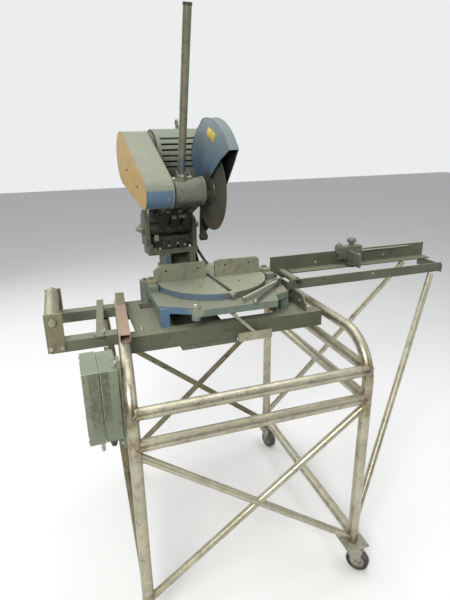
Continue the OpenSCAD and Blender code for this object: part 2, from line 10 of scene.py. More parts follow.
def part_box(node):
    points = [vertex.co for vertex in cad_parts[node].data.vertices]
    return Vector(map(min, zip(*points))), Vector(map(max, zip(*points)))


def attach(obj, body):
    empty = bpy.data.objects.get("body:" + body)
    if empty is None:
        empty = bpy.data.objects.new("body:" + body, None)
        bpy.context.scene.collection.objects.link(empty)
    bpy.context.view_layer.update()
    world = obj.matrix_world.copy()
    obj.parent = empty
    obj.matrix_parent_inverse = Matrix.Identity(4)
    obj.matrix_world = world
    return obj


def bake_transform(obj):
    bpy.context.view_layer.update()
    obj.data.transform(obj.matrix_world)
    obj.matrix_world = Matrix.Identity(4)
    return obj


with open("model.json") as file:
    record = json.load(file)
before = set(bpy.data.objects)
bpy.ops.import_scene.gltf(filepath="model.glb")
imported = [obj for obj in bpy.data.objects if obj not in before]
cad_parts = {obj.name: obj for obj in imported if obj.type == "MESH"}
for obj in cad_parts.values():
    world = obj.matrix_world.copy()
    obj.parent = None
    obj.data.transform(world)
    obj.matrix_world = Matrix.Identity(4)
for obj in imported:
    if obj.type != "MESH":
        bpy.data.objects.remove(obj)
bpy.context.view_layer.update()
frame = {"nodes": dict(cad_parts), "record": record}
random.seed(11)

# ---- places and sizes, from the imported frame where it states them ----
# Sizes are in millimetres; CENTRE and what the at_ functions return are in metres.

MM = 0.001
UP = Vector((0, 0, 1))
RIGHT = Vector((1, 0, 0))
LEFT = Vector((-1, 0, 0))
REAR = Vector((0, 1, 0))
FRONT = Vector((0, -1, 0))
JOINTS = {j["name"]: j for j in frame["record"]["behaviour"]["joints"]}
HEAD_X = Vector(JOINTS["head_chop"]["axis"])
HEAD_Y = UP.cross(HEAD_X)
turn_pos = JOINTS["mitre_swivel"]["pos_m"]
CENTRE = Vector((turn_pos[0], turn_pos[1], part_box("turntable")[1].z))
# How far behind and above the turntable's centre each axle runs.
SPINDLE = (-30, 340)
MOTOR = (275, 445)
PIVOT = (215, 172)
TUBE_R = 19.05
BRACE_R = 12.7
RIGHT_X = JOINTS["caster_rear_swivel"]["pos_m"][0] / MM
REAR_Y = JOINTS["caster_rear_swivel"]["pos_m"][1] / MM
TOE = math.atan2(70, REAR_Y)
REAR_LEFT = (REAR_Y * math.sin(TOE), REAR_Y * math.cos(TOE))
LEGS = {"front_left": (0, 0), "rear_left": REAR_LEFT, "front_right": (RIGHT_X, 0),
        "rear_right": (RIGHT_X, REAR_Y)}
RAIL_HEIGHTS = (846, 740)
TABLE_RIM_R = 214
HOOD_R = 246
HOUSING_R = 46
COVER_SMALL_R = 54
COVER_LARGE_R = 100
# Heights on each leg where the heat of welding browned the steel.
BROWNED = {"front_left": (846, 740, 138), "rear_left": (846, 740, 705, 126),
           "front_right": (846, 740, 712, 152), "rear_right": (846, 745, 152)}


def at_stand(x, y, z):
    """A point in the stand's own frame, in metres."""
    return Vector((x, y, z)) * MM


def at_saw(x, y, z):
    """A point measured from the turntable's centre, square to the stand."""
    return CENTRE + Vector((x, y, z)) * MM


def at_head(x, y, z):
    """A point measured from the turntable's centre, turned with the head."""
    return CENTRE + (HEAD_X * x + HEAD_Y * y + UP * z) * MM


def spoke(axes, turn):
    """The unit direction at a turn, in radians, between two axes."""
    return axes[0] * math.cos(turn) + axes[1] * math.sin(turn)


def around_head(degrees):
    """A direction square to the head's axles: 0 is to the rear, 90 is up."""
    return spoke((HEAD_Y, UP), math.radians(degrees))


# ---- materials: colours are linear, lengths here are in metres ----

RUB_WIDTH = 0.0016
BUMP_DEPTH = 0.0012
HEAT_REACH = 0.058


class Paint:
    """Builds one procedural material, node by node."""

    def __init__(self, name):
        self.material = bpy.data.materials.new(name)
        self.material.use_nodes = True
        self.tree = self.material.node_tree
        self.shader = self.tree.nodes["Principled BSDF"]
        coordinates = self.add("ShaderNodeTexCoord")
        self.place = coordinates.outputs["Object"]
        self.slope = coordinates.outputs["Normal"]
        self.normal = self.add("ShaderNodeNewGeometry").outputs["Normal"]

    def add(self, kind, **settings):
        node = self.tree.nodes.new(kind)
        for key, value in settings.items():
            setattr(node, key, value)
        return node

    def put(self, socket, value):
        if isinstance(value, bpy.types.NodeSocket):
            self.tree.links.new(value, socket)
        elif isinstance(value, (tuple, list)) and socket.type == "RGBA":
            socket.default_value = (*value[:3], 1)
        else:
            socket.default_value = value

    def noise(self, scale, detail=4, rough=0.55, shift=0.0):
        mapping = self.add("ShaderNodeMapping")
        self.put(mapping.inputs["Vector"], self.place)
        mapping.inputs["Location"].default_value = (shift, shift * 0.7, shift * 1.3)
        node = self.add("ShaderNodeTexNoise")
        self.put(node.inputs["Vector"], mapping.outputs["Vector"])
        node.inputs["Scale"].default_value = scale
        node.inputs["Detail"].default_value = detail
        node.inputs["Roughness"].default_value = rough
        return node.outputs["Fac"]

    def maths(self, operation, a, b=0.0):
        node = self.add("ShaderNodeMath", operation=operation, use_clamp=True)
        self.put(node.inputs[0], a)
        self.put(node.inputs[1], b)
        return node.outputs["Value"]

    def times(self, first, *others):
        for other in others:
            first = self.maths("MULTIPLY", first, other)
        return first

    def vector_maths(self, operation, a, b=None, output="Vector"):
        node = self.add("ShaderNodeVectorMath", operation=operation)
        self.put(node.inputs[0], a)
        if b is not None:
            self.put(node.inputs[1], b)
        return node.outputs[output]

    def dot(self, vector, direction):
        return self.vector_maths("DOT_PRODUCT", vector, direction, "Value")

    def fit(self, value, low, high, to_low=0.0, to_high=1.0):
        node = self.add("ShaderNodeMapRange", interpolation_type="SMOOTHSTEP")
        for index, item in enumerate((value, low, high, to_low, to_high)):
            self.put(node.inputs[index], item)
        return node.outputs["Result"]

    def below(self, value, low, high):
        """1 under low, fading to 0 over high."""
        return self.fit(value, low, high, 1.0, 0.0)

    def mix(self, share, a, b):
        node = self.add("ShaderNodeMix", data_type="RGBA")
        self.put(node.inputs[0], share)
        self.put(node.inputs[6], a)
        self.put(node.inputs[7], b)
        return node.outputs[2]

    def axis(self, index):
        """The surface point's x, y or z, as it lies with the part at rest."""
        node = self.add("ShaderNodeSeparateXYZ")
        self.put(node.inputs[0], self.place)
        return node.outputs[index]

    def offset(self, point):
        """The way from a point to the surface point."""
        return self.vector_maths("SUBTRACT", self.place, point)

    def over_table(self):
        """Height over the turntable's top."""
        return self.maths("SUBTRACT", self.axis(2), CENTRE.z)

    def facing(self, direction, low, high):
        return self.fit(self.dot(self.slope, direction), low, high)

    def near(self, point, radius):
        away = self.vector_maths("DISTANCE", self.place, point, "Value")
        return self.below(away, radius * 0.45, radius)

    def edges(self, radius):
        """How close the surface is to a worn outer edge, and the softened normal there."""
        bevel = self.add("ShaderNodeBevel", samples=4)
        bevel.inputs["Radius"].default_value = radius
        soft = bevel.outputs["Normal"]
        return self.below(self.dot(soft, self.normal), 0.80, 0.985), soft

    def finish(self, colour, rough, metal, height, normal, strength=0.25):
        bump = self.add("ShaderNodeBump")
        bump.inputs["Strength"].default_value = strength
        bump.inputs["Distance"].default_value = BUMP_DEPTH
        self.put(bump.inputs["Height"], height)
        self.put(bump.inputs["Normal"], normal)
        self.put(self.shader.inputs["Base Color"], colour)
        self.put(self.shader.inputs["Roughness"], rough)
        self.put(self.shader.inputs["Metallic"], metal)
        self.put(self.shader.inputs["Normal"], bump.outputs["Normal"])
        return self.material


def worn(name, base, second, dust, edge, metal=0.0, rough=0.5, dusty=0.6, grime=0.5,
         wear=0.7, grain=0.25, extra=None, last=None):
    """A used workshop surface: two-tone base, grime patches, dust that lies on top, rubbed edges.

    extra repaints the colour under grime and dust, last repaints it over everything.
    """
    p = Paint(name)
    broad = p.noise(7, 5, 0.6)
    patch = p.noise(38, 6, 0.62, shift=3.1)
    fine = p.noise(420, 3, 0.6, shift=1.7)
    speck = p.noise(150, 5, 0.7, shift=7.3)
    edge_mask, soft = p.edges(RUB_WIDTH)
    colour = p.mix(p.fit(broad, 0.36, 0.64), base, second)
    if extra:
        colour = extra(p, colour, patch)
    colour = p.mix(p.times(p.fit(patch, 0.53, 0.68), grime), colour, (0.03, 0.028, 0.024))
    up = p.facing(UP, 0.25, 0.95)
    lying = p.times(p.maths("ADD", up, 0.14), p.fit(speck, 0.28, 0.58), dusty)
    colour = p.mix(lying, colour, dust)
    rub = p.times(edge_mask, p.fit(speck, 0.38, 0.56, 0.1, wear))
    colour = p.mix(rub, colour, edge)
    if last:
        colour = last(p, colour)
    roughness = p.maths("ADD", p.fit(speck, 0.3, 0.7, rough - 0.09, rough + 0.12),
                        p.times(lying, 0.3))
    metalness = p.maths("SUBTRACT", p.maths("MAXIMUM", rub, metal) if metal < 1 else 1.0,
                        p.times(lying, 0.85))
    height = p.maths("ADD", p.times(fine, 0.35), p.times(patch, 0.65))
    return p.finish(colour, roughness, metalness, height, soft, grain)


def weld_heat(p, colour, patch):
    """Browned steel round the welds, and dull dusty patches along the tubes."""
    spread = 0.0
    for leg, heights in BROWNED.items():
        for height in heights:
            weld = p.near(at_stand(*LEGS[leg], height), HEAT_REACH)
            spread = p.maths("MAXIMUM", spread, weld)
    spread = p.times(spread, p.fit(patch, 0.34, 0.58))
    colour = p.mix(p.times(spread, 0.7), colour, (0.215, 0.145, 0.07))
    dull = p.fit(p.noise(16, 6, 0.7, shift=5.5), 0.5, 0.64)
    return p.mix(p.times(dull, 0.45), colour, (0.255, 0.235, 0.16))


def belt_cover(p, colour, patch):
    """Tan rusty outer face, and blue paint left on the lower front of the rim."""
    side = p.facing(-HEAD_X, 0.6, 0.9)
    blotch = p.fit(p.noise(26, 6, 0.68, shift=4.4), 0.40, 0.62)
    colour = p.mix(side, colour, p.mix(blotch, (0.43, 0.255, 0.05), (0.34, 0.225, 0.07)))
    ragged = p.maths("ADD", p.over_table(), p.times(patch, 0.012))
    low = p.times(p.below(ragged, 0.3555, 0.362), p.facing(FRONT, -0.2, 0.1),
                  p.maths("SUBTRACT", 1.0, side))
    return p.mix(low, colour, (0.055, 0.105, 0.175))


def guard_shell(p, colour, patch):
    """Deeper blue low on the guard."""
    return p.mix(p.fit(p.over_table(), 0.38, 0.52, 0.9, 0.0), colour, (0.045, 0.105, 0.19))


def guard_soot_and_shade(p, colour):
    """Painted shade on every inner face of the guard, near black with soot, and a dark iron collar
    with painted shade on the plate round it.
    """
    # Painted shade: darker round the collar, where the plate near the housing lies hidden.
    colour = p.mix(p.near(at_head(-26, *SPINDLE), 0.10), colour, (0.045, 0.05, 0.037))
    # Painted shade: faces turned in towards the hood's middle go near black.
    outward = p.dot(p.offset(at_head(2, -60, 450)), p.slope)
    return p.mix(p.below(outward, -0.004, 0.0), colour, (0.006, 0.006, 0.005))


def base_fade(p, colour, patch):
    """Blue left on the front of the base's left corner, a dusty boss beside it."""
    place = p.maths("ADD", p.axis(0), p.times(patch, 0.012))
    left = p.times(p.below(place, CENTRE.x - 0.150, CENTRE.x - 0.134), p.facing(FRONT, 0.2, 0.6),
                   p.below(p.axis(1), CENTRE.y - 0.2, CENTRE.y - 0.19),
                   p.fit(patch, 0.30, 0.46, 0.72, 1.0))
    colour = p.mix(left, colour, (0.045, 0.12, 0.235))
    return p.mix(p.near(at_saw(-137, -268, -25), 0.04), colour, (0.21, 0.23, 0.17))


def yoke_foot(p, colour, patch):
    """Blue paint left on the front of the yoke's left post."""
    low = p.below(p.axis(2), CENTRE.z + 0.064, CENTRE.z + 0.067)
    left = p.times(p.below(p.axis(0), CENTRE.x - 0.118, CENTRE.x - 0.112),
                   p.facing(FRONT, 0.5, 0.8))
    return p.mix(p.times(low, left), colour, (0.05, 0.095, 0.14))


def bar_rear(p, colour):
    """The rear third of the pink bar is under dust."""
    low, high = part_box("cross_bar_box")
    edge = low.y + 0.64 * (high.y - low.y)
    dusted = p.fit(p.axis(1), edge - 0.012, edge + 0.02, 0.0, 0.9)
    return p.mix(dusted, colour, (0.135, 0.135, 0.075))


def two_rods(p, colour):
    """The inner clamp rod is rubbed bright, the outer one is dull."""
    outer = p.dot(p.offset(at_saw(234, -130, -5)), (0.638, -0.770, 0))
    return p.mix(p.fit(outer, -0.001, 0.001), colour, (0.10, 0.10, 0.068))


def far_axle(p, colour):
    """Dark olive over the outfeed roller's axle."""
    return p.mix(p.fit(p.axis(0), 0.2, 0.3), colour, (0.05, 0.053, 0.038))


def box_front(p, colour):
    """Stains down the front of the box: a brown band on the lid, a dark one beside the seam."""
    low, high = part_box("box_lid")
    mottle = p.fit(p.noise(70, 6, 0.72, shift=8.8), 0.36, 0.60, 0.35, 1.0)
    front = p.facing(FRONT, 0.6, 0.9)
    brown = (low.x + 0.012, low.x + 0.018, high.x - 0.002, high.x, 0.01, 0.09)
    dark = (high.x + 0.001, high.x + 0.003, high.x + 0.021, high.x + 0.023, 0.04, 0.12)
    for (x0, x1, x2, x3, foot, top), share, tone in (
            (brown, 0.85, (0.075, 0.068, 0.042)), (dark, 0.9, (0.055, 0.065, 0.045))):
        band = p.times(p.fit(p.axis(0), x0, x1), p.below(p.axis(0), x2, x3),
                       p.fit(p.axis(2), low.z + foot, low.z + top), mottle, front, share)
        colour = p.mix(band, colour, tone)
    return colour


def table_rim(p, colour, patch):
    """Blue paint left on the left part of the table's rim, dark iron on the rest."""
    rim = p.maths("SUBTRACT", 1.0, p.facing(UP, 0.3, 0.8))
    left = p.below(p.maths("ADD", p.axis(0), p.times(patch, 0.05)),
                   CENTRE.x - 0.01, CENTRE.x + 0.045)
    colour = p.mix(rim, colour, p.mix(left, (0.085, 0.09, 0.06), (0.065, 0.115, 0.165)))
    across = p.maths("ABSOLUTE", p.dot(p.offset(CENTRE), HEAD_X))
    strip = p.times(p.below(across, 0.0125, 0.0135),
                    p.below(p.axis(1), CENTRE.y + 0.05, CENTRE.y + 0.052))
    return p.mix(strip, colour, (0.105, 0.108, 0.075))


def motor_slot_shade(p, colour, patch):
    """Painted shade: black deep in the air slots, where they run in towards the windings."""
    flat = p.offset(at_head(0, *MOTOR))
    spread = p.vector_maths("CROSS_PRODUCT", flat, HEAD_X)
    deep = p.below(p.vector_maths("LENGTH", spread, output="Value"), 0.1045, 0.1068)
    along = p.maths("ABSOLUTE", p.maths("ADD", p.dot(flat, HEAD_X), 0.037))
    # Near black in the slots: painted shade.
    return p.mix(p.times(deep, p.below(along, 0.084, 0.0855)), colour, (0.012, 0.012, 0.012))


def lid_stripe(p, colour, patch):
    """A darker mottled band down the lid where hands and coolant have stained it."""
    across = p.maths("ABSOLUTE", p.maths("SUBTRACT", p.axis(1), 0.125))
    band = p.below(p.maths("ADD", across, p.times(patch, 0.03)), 0.025, 0.06)
    return p.mix(p.times(band, 0.6), colour, (0.13, 0.15, 0.10))


def handle_foot(p, colour, patch):
    """Blue paint left on the lowest part of the pull handle."""
    return p.mix(p.fit(p.over_table(), 0.445, 0.475, 0.8, 0.0), colour, (0.06, 0.08, 0.11))


def burnt_disc(p, colour, patch):
    """Brown scorch towards the bottom of the disc."""
    low = p.below(p.axis(2), CENTRE.z + 0.20, CENTRE.z + 0.25)
    return p.mix(p.times(low, 0.4), colour, (0.11, 0.065, 0.03))


# Each finish: base, second tone, dust, rubbed edge, then what differs from worn()'s usual values.
FINISHES = {
    "frame_steel": (
        (0.50, 0.475, 0.365), (0.39, 0.37, 0.275), (0.42, 0.40, 0.29), (0.6, 0.57, 0.48),
        dict(metal=1.0, rough=0.33, dusty=0.4, grime=0.4, wear=0.5, grain=0.1, extra=weld_heat)),
    "beam_paint": (
        (0.055, 0.060, 0.037), (0.080, 0.084, 0.052), (0.195, 0.20, 0.135), (0.22, 0.21, 0.16),
        dict(rough=0.55, dusty=0.9)),
    "dusty_steel": (
        (0.065, 0.07, 0.046), (0.095, 0.10, 0.067), (0.195, 0.205, 0.145), (0.30, 0.30, 0.22),
        dict(rough=0.6, dusty=1.15, grime=0.4)),
    "bare_steel": (
        (0.46, 0.44, 0.37), (0.30, 0.29, 0.235), (0.33, 0.325, 0.23), (0.60, 0.57, 0.49),
        dict(metal=1.0, rough=0.34, dusty=0.5, grain=0.15)),
    "primer_paint": (
        (0.34, 0.195, 0.135), (0.27, 0.17, 0.115), (0.30, 0.25, 0.17), (0.42, 0.33, 0.25),
        dict(rough=0.6, dusty=0.5, grime=0.4, last=bar_rear)),
    "table_iron": (
        (0.255, 0.268, 0.19), (0.22, 0.23, 0.165), (0.285, 0.30, 0.215), (0.38, 0.38, 0.30),
        dict(rough=0.55, dusty=0.8, grime=0.3, extra=table_rim)),
    "green_paint": (
        (0.125, 0.138, 0.10), (0.10, 0.112, 0.082), (0.20, 0.215, 0.155), (0.30, 0.30, 0.23),
        dict()),
    "dark_iron": (
        (0.016, 0.017, 0.014), (0.03, 0.031, 0.024), (0.10, 0.10, 0.07), (0.13, 0.125, 0.10),
        dict(dusty=0.45, grime=0.3)),
    "guard_face": (
        (0.205, 0.215, 0.16), (0.17, 0.18, 0.138), (0.23, 0.245, 0.185), (0.36, 0.35, 0.26),
        dict(rough=0.58, dusty=0.7, grime=0.2, extra=belt_cover)),
    "motor_alu": (
        (0.165, 0.183, 0.14), (0.13, 0.145, 0.11), (0.19, 0.208, 0.16), (0.40, 0.41, 0.33),
        dict(rough=0.55, dusty=0.7, grime=0.3, extra=motor_slot_shade)),
    "disc_grit": (
        (0.034, 0.037, 0.024), (0.052, 0.053, 0.036), (0.13, 0.13, 0.095), (0.17, 0.165, 0.12),
        dict(metal=0.1, rough=0.6, dusty=0.2, grime=0.4, grain=0.5, extra=burnt_disc)),
    "black_rubber": (
        (0.018, 0.018, 0.018), (0.03, 0.03, 0.028), (0.16, 0.155, 0.125), (0.07, 0.07, 0.065),
        dict(rough=0.75, dusty=0.45, grime=0.1, wear=0.4)),
    "black_plastic": (
        (0.02, 0.02, 0.021), (0.035, 0.035, 0.034), (0.19, 0.19, 0.15), (0.10, 0.10, 0.095),
        dict(rough=0.42, dusty=0.4, grime=0.1, wear=0.4)),
    "caster_steel": (
        (0.42, 0.41, 0.35), (0.28, 0.27, 0.22), (0.31, 0.29, 0.22), (0.55, 0.53, 0.46),
        dict(metal=1.0, rough=0.42, grime=0.7)),
    "tread": (
        (0.025, 0.025, 0.024), (0.045, 0.043, 0.04), (0.22, 0.20, 0.15), (0.11, 0.105, 0.09),
        dict(rough=0.7, dusty=0.5, grime=0.1, wear=0.6)),
    "lid_paint": (
        (0.21, 0.245, 0.17), (0.17, 0.20, 0.14), (0.195, 0.225, 0.165), (0.50, 0.52, 0.43),
        dict(wear=0.95, extra=lid_stripe, last=box_front)),
    "fence_paint": (
        (0.20, 0.20, 0.135), (0.155, 0.16, 0.112), (0.27, 0.275, 0.195), (0.36, 0.36, 0.27),
        dict(rough=0.55, dusty=0.9, grime=0.4)),
    "yoke_paint": (
        (0.085, 0.09, 0.057), (0.055, 0.065, 0.052), (0.20, 0.20, 0.135), (0.25, 0.25, 0.18),
        dict(rough=0.52, dusty=0.7, grime=0.6, extra=yoke_foot)),
    "base_paint": (
        (0.085, 0.135, 0.115), (0.115, 0.145, 0.115), (0.205, 0.215, 0.155), (0.24, 0.26, 0.20),
        dict(rough=0.55, dusty=1.7, grime=0.3, wear=0.5, extra=base_fade)),
    "brassy_roller": (
        (0.29, 0.27, 0.155), (0.20, 0.185, 0.11), (0.17, 0.165, 0.10), (0.5, 0.46, 0.33),
        dict(metal=0.85, rough=0.36, dusty=0.35, grime=0.55)),
    "dull_roller": (
        (0.17, 0.18, 0.13), (0.13, 0.14, 0.10), (0.23, 0.24, 0.175), (0.30, 0.30, 0.23),
        dict(metal=0.35)),
    "old_tube": (
        (0.25, 0.225, 0.14), (0.16, 0.145, 0.088), (0.20, 0.19, 0.125), (0.40, 0.37, 0.26),
        dict(metal=0.8, rough=0.4, dusty=0.4, grime=0.75, grain=0.12)),
    "axle_steel": (
        (0.42, 0.39, 0.26), (0.30, 0.28, 0.19), (0.27, 0.26, 0.18), (0.55, 0.51, 0.38),
        dict(metal=0.9, rough=0.36, dusty=0.4, last=far_axle)),
    "lever_steel": (
        (0.56, 0.55, 0.46), (0.42, 0.41, 0.33), (0.33, 0.33, 0.24), (0.66, 0.64, 0.56),
        dict(metal=0.7, rough=0.34, dusty=0.3, grime=0.3, last=two_rods)),
    "lever_bright": (
        (0.40, 0.40, 0.30), (0.30, 0.30, 0.22), (0.33, 0.33, 0.24), (0.55, 0.54, 0.44),
        dict(metal=0.3, rough=0.4, dusty=0.5, grime=0.4)),
    "pull_paint": (
        (0.33, 0.325, 0.235), (0.24, 0.24, 0.175), (0.30, 0.305, 0.215), (0.45, 0.44, 0.35),
        dict(metal=0.25, rough=0.45, dusty=0.7, grime=0.55)),
    "stop_paint": (
        (0.07, 0.077, 0.05), (0.10, 0.108, 0.075), (0.22, 0.23, 0.16), (0.26, 0.26, 0.2),
        dict(rough=0.52, dusty=0.7)),
    "knob_green": (
        (0.085, 0.098, 0.068), (0.12, 0.135, 0.10), (0.19, 0.205, 0.15), (0.27, 0.28, 0.22),
        dict(grime=0.4)),
    "bracket_paint": (
        (0.165, 0.15, 0.078), (0.13, 0.125, 0.07), (0.26, 0.255, 0.16), (0.42, 0.39, 0.28),
        dict(rough=0.55, dusty=0.8, grime=0.45)),
    "handle_steel": (
        (0.165, 0.155, 0.10), (0.12, 0.118, 0.085), (0.25, 0.24, 0.17), (0.30, 0.28, 0.21),
        dict(metal=0.5, rough=0.42, dusty=0.4, grime=0.6, extra=handle_foot)),
    "guard_paint": (
        (0.10, 0.148, 0.185), (0.112, 0.15, 0.165), (0.135, 0.17, 0.15), (0.38, 0.42, 0.36),
        # last paints near-black shade on the guard's inner faces and round its collar.
        dict(rough=0.45, dusty=0.9, grime=0.3, extra=guard_shell, last=guard_soot_and_shade)),
    "weld_bead": (
        (0.20, 0.155, 0.10), (0.33, 0.30, 0.24), (0.33, 0.30, 0.22), (0.5, 0.46, 0.38),
        dict(metal=1.0, rough=0.42, dusty=0.2, grime=0.6, grain=0.5)),
    "yellow_patch": (
        (0.62, 0.50, 0.025), (0.50, 0.38, 0.03), (0.45, 0.40, 0.20), (0.3, 0.25, 0.1),
        dict(dusty=0.4)),
    # Near black: printed scale marks and small black parts, and painted shade in gaps and between
    # the yoke's cheeks.
    "black_and_painted_shade": (
        (0.012, 0.012, 0.012), (0.022, 0.021, 0.019), (0.10, 0.10, 0.08), (0.05, 0.05, 0.045),
        dict(rough=0.7, dusty=0.35, grime=0.2)),
}
LOOKS = {name: worn(name, *tones, **rest) for name, (*tones, rest) in FINISHES.items()}
# Nodes that differ from the usual finish of their slot.
NODE_LOOKS = {
    "rear_brace_a": "old_tube", "rear_brace_b": "old_tube", "infeed_braces": "old_tube",
    "saw_base": "base_paint", "infeed_roller": "brassy_roller", "outfeed_roller": "dull_roller",
    "roller_axles": "axle_steel", "clamp_lever": "lever_steel", "release_handle": "pull_paint",
    "stop_block": "stop_paint", "stop_knob": "knob_green", "box_lid": "lid_paint",
    "fence_left": "fence_paint", "fence_right": "fence_paint", "yoke": "yoke_paint",
    "infeed_brackets": "bracket_paint", "handle_tube": "handle_steel",
    "blade_guard": "guard_paint", "box_body": "lid_paint",
}


def paint_nodes():
    """Gives every CAD node the finish of its slot, or its own variant."""
    slots = {part["node"]: part["material_slot"] for part in frame["record"]["subparts"]}
    for name, obj in frame["nodes"].items():
        look = LOOKS[NODE_LOOKS.get(name, slots[name])]
        if not obj.material_slots:
            obj.data.materials.append(look)
        for place in obj.material_slots:
            place.material = look


# ---- piece builders ----


def cross_axes(direction):
    """Two unit directions square to the given one."""
    direction = direction.normalized()
    side = UP if abs(direction.z) < 0.9 else RIGHT
    first = (side - direction * side.dot(direction)).normalized()
    return first, direction.cross(first)


def add_object(name, data):
    obj = bpy.data.objects.new(name, data)
    bpy.context.scene.collection.objects.link(obj)
    return obj


def mesh_object(name, bm, look, sharp_angle=None):
    """Turns a bmesh into a smooth object with one finish."""
    bmesh.ops.recalc_face_normals(bm, faces=bm.faces[:])
    mesh = bpy.data.meshes.new(name)
    bm.to_mesh(mesh)
    bm.free()
    for face in mesh.polygons:
        face.use_smooth = True
    if sharp_angle:
        mesh.set_sharp_from_angle(angle=math.radians(sharp_angle))
    mesh.materials.append(LOOKS[look])
    return add_object(name, mesh)


def piece(name, bm, look, body, sharp_angle=35):
    """A named piece that rides on a body."""
    obj = mesh_object(name, bm, look, sharp_angle)
    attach(obj, body)


def add_lathe(bm, profile, at, direction, sides=32, start=0.0):
    """Revolves (radius, height) pairs, in millimetres, about a line from at."""
    axes = cross_axes(direction)
    along = direction.normalized()
    rings = []
    for radius, height in profile:
        centre = at + along * height * MM
        if radius == 0:
            rings.append([bm.verts.new(centre)])
            continue
        turns = [start + math.tau * i / sides for i in range(sides)]
        rings.append([bm.verts.new(centre + spoke(axes, t) * radius * MM) for t in turns])
    for low, high in zip(rings, rings[1:]):
        for i in range(sides):
            j = (i + 1) % sides
            if len(low) == 1:
                bm.faces.new((low[0], high[i], high[j]))
            elif len(high) == 1:
                bm.faces.new((low[i], low[j], high[0]))
            else:
                bm.faces.new((low[i], low[j], high[j], high[i]))
    if len(rings[0]) > 1 and len(rings[-1]) > 1 and profile[0] == profile[-1]:
        bmesh.ops.remove_doubles(bm, verts=rings[0] + rings[-1], dist=1e-7)


def add_bolt(bm, at, direction, radius, height):
    """A hex head on its washer, with a chamfered top."""
    washer = radius * 1.35
    add_lathe(bm, [(0, 0), (washer, 0), (washer, 1.2), (0, 1.2)], at, direction, 24)
    add_lathe(bm, [(0, 1), (radius, 1), (radius, height * 0.8), (radius * 0.84, height),
                   (0, height)], at, direction, 6, random.uniform(0, 1))


def add_screw(bm, at, direction, radius, height):
    """A round socket screw with its recess."""
    add_lathe(bm, [(0, 0), (radius, 0), (radius, height * 0.8), (radius * 0.85, height),
                   (radius * 0.5, height), (radius * 0.5, height * 0.35), (0, height * 0.35)],
              at, direction, 20)


def add_sweep(bm, points, radius, sides, normal=None):
    """A round bar through points, closed when their plane's normal is given.

    radius is one number or one for each point.
    """
    count = len(points)
    closed = normal is not None
    radii = radius if isinstance(radius, list) else [radius] * count
    rings = []
    side = None
    for i, point in enumerate(points):
        before = points[i - 1] if closed or i else point
        after = points[(i + 1) % count] if closed or i < count - 1 else point
        tangent = (after - before).normalized()
        if closed:
            side = tangent.cross(normal).normalized()
        elif side is None:
            side = cross_axes(tangent)[0]
        side = (side - tangent * side.dot(tangent)).normalized()
        axes = (side, tangent.cross(side))
        rings.append([bm.verts.new(point + spoke(axes, math.tau * k / sides) * radii[i] * MM)
                      for k in range(sides)])
    pairs = list(zip(rings, rings[1:])) + ([(rings[-1], rings[0])] if closed else [])
    for low, high in pairs:
        for k in range(sides):
            n = (k + 1) % sides
            bm.faces.new((low[k], low[n], high[n], high[k]))
    if not closed:
        bm.faces.new(rings[0])
        bm.faces.new(rings[-1])


def add_plate(bm, outline, at, across, upward, thickness, round_off=0.6):
    """A plate from an outline of (across, upward) pairs, thickened towards their normal."""
    normal = across.cross(upward).normalized()
    part = bmesh.new()
    front = [part.verts.new(at + (across * u + upward * v) * MM) for u, v in outline]
    back = [part.verts.new(v.co + normal * thickness * MM) for v in front]
    part.faces.new(front)
    part.faces.new(back)
    for i in range(len(front)):
        j = (i + 1) % len(front)
        part.faces.new((front[i], front[j], back[j], back[i]))
    bmesh.ops.recalc_face_normals(part, faces=part.faces[:])
    if round_off:
        bmesh.ops.bevel(part, geom=part.edges[:], offset=round_off * MM, segments=2,
                        affect="EDGES", profile=0.7)
    mesh = bpy.data.meshes.new("part")
    part.to_mesh(mesh)
    part.free()
    bm.from_mesh(mesh)
    bpy.data.meshes.remove(mesh)


def rectangle(width, height):
    """Corners of a rectangle centred on its own origin."""
    x, y = width / 2, height / 2
    return [(-x, -y), (x, -y), (x, y), (-x, y)]


def ring_points(at, direction, radius, count):
    axes = cross_axes(direction)
    return [at + spoke(axes, math.tau * i / count) * radius * MM for i in range(count)]


# ---- welds ----


def saddle(point, direction, radius):
    """The closed line where a tube that leaves point along direction meets an upright leg."""
    direction = direction.normalized()
    axes = cross_axes(direction)
    flat = direction - UP * direction.dot(UP)
    count = 44
    loop = []
    for i in range(count):
        offset = spoke(axes, math.tau * i / count) * radius * MM
        across = offset - UP * offset.dot(UP)
        half = across.dot(flat)
        short = across.length_squared - (TUBE_R * MM) ** 2
        rest = max(half * half - flat.length_squared * short, 0)
        reach = (-half + math.sqrt(rest)) / flat.length_squared
        loop.append(point + offset + direction * reach)
    return loop


def bead_radii(count, size):
    """A weld bead's radius along its line, scalloped where the torch paused."""
    return [size * (0.82 + 0.22 * abs(math.sin(1.05 * i)) + random.uniform(-0.06, 0.06))
            for i in range(count)]


def add_weld(bm, start, direction, radius, size):
    loop = saddle(start, direction, radius)
    add_sweep(bm, loop, bead_radii(len(loop), size), 8, direction.normalized())


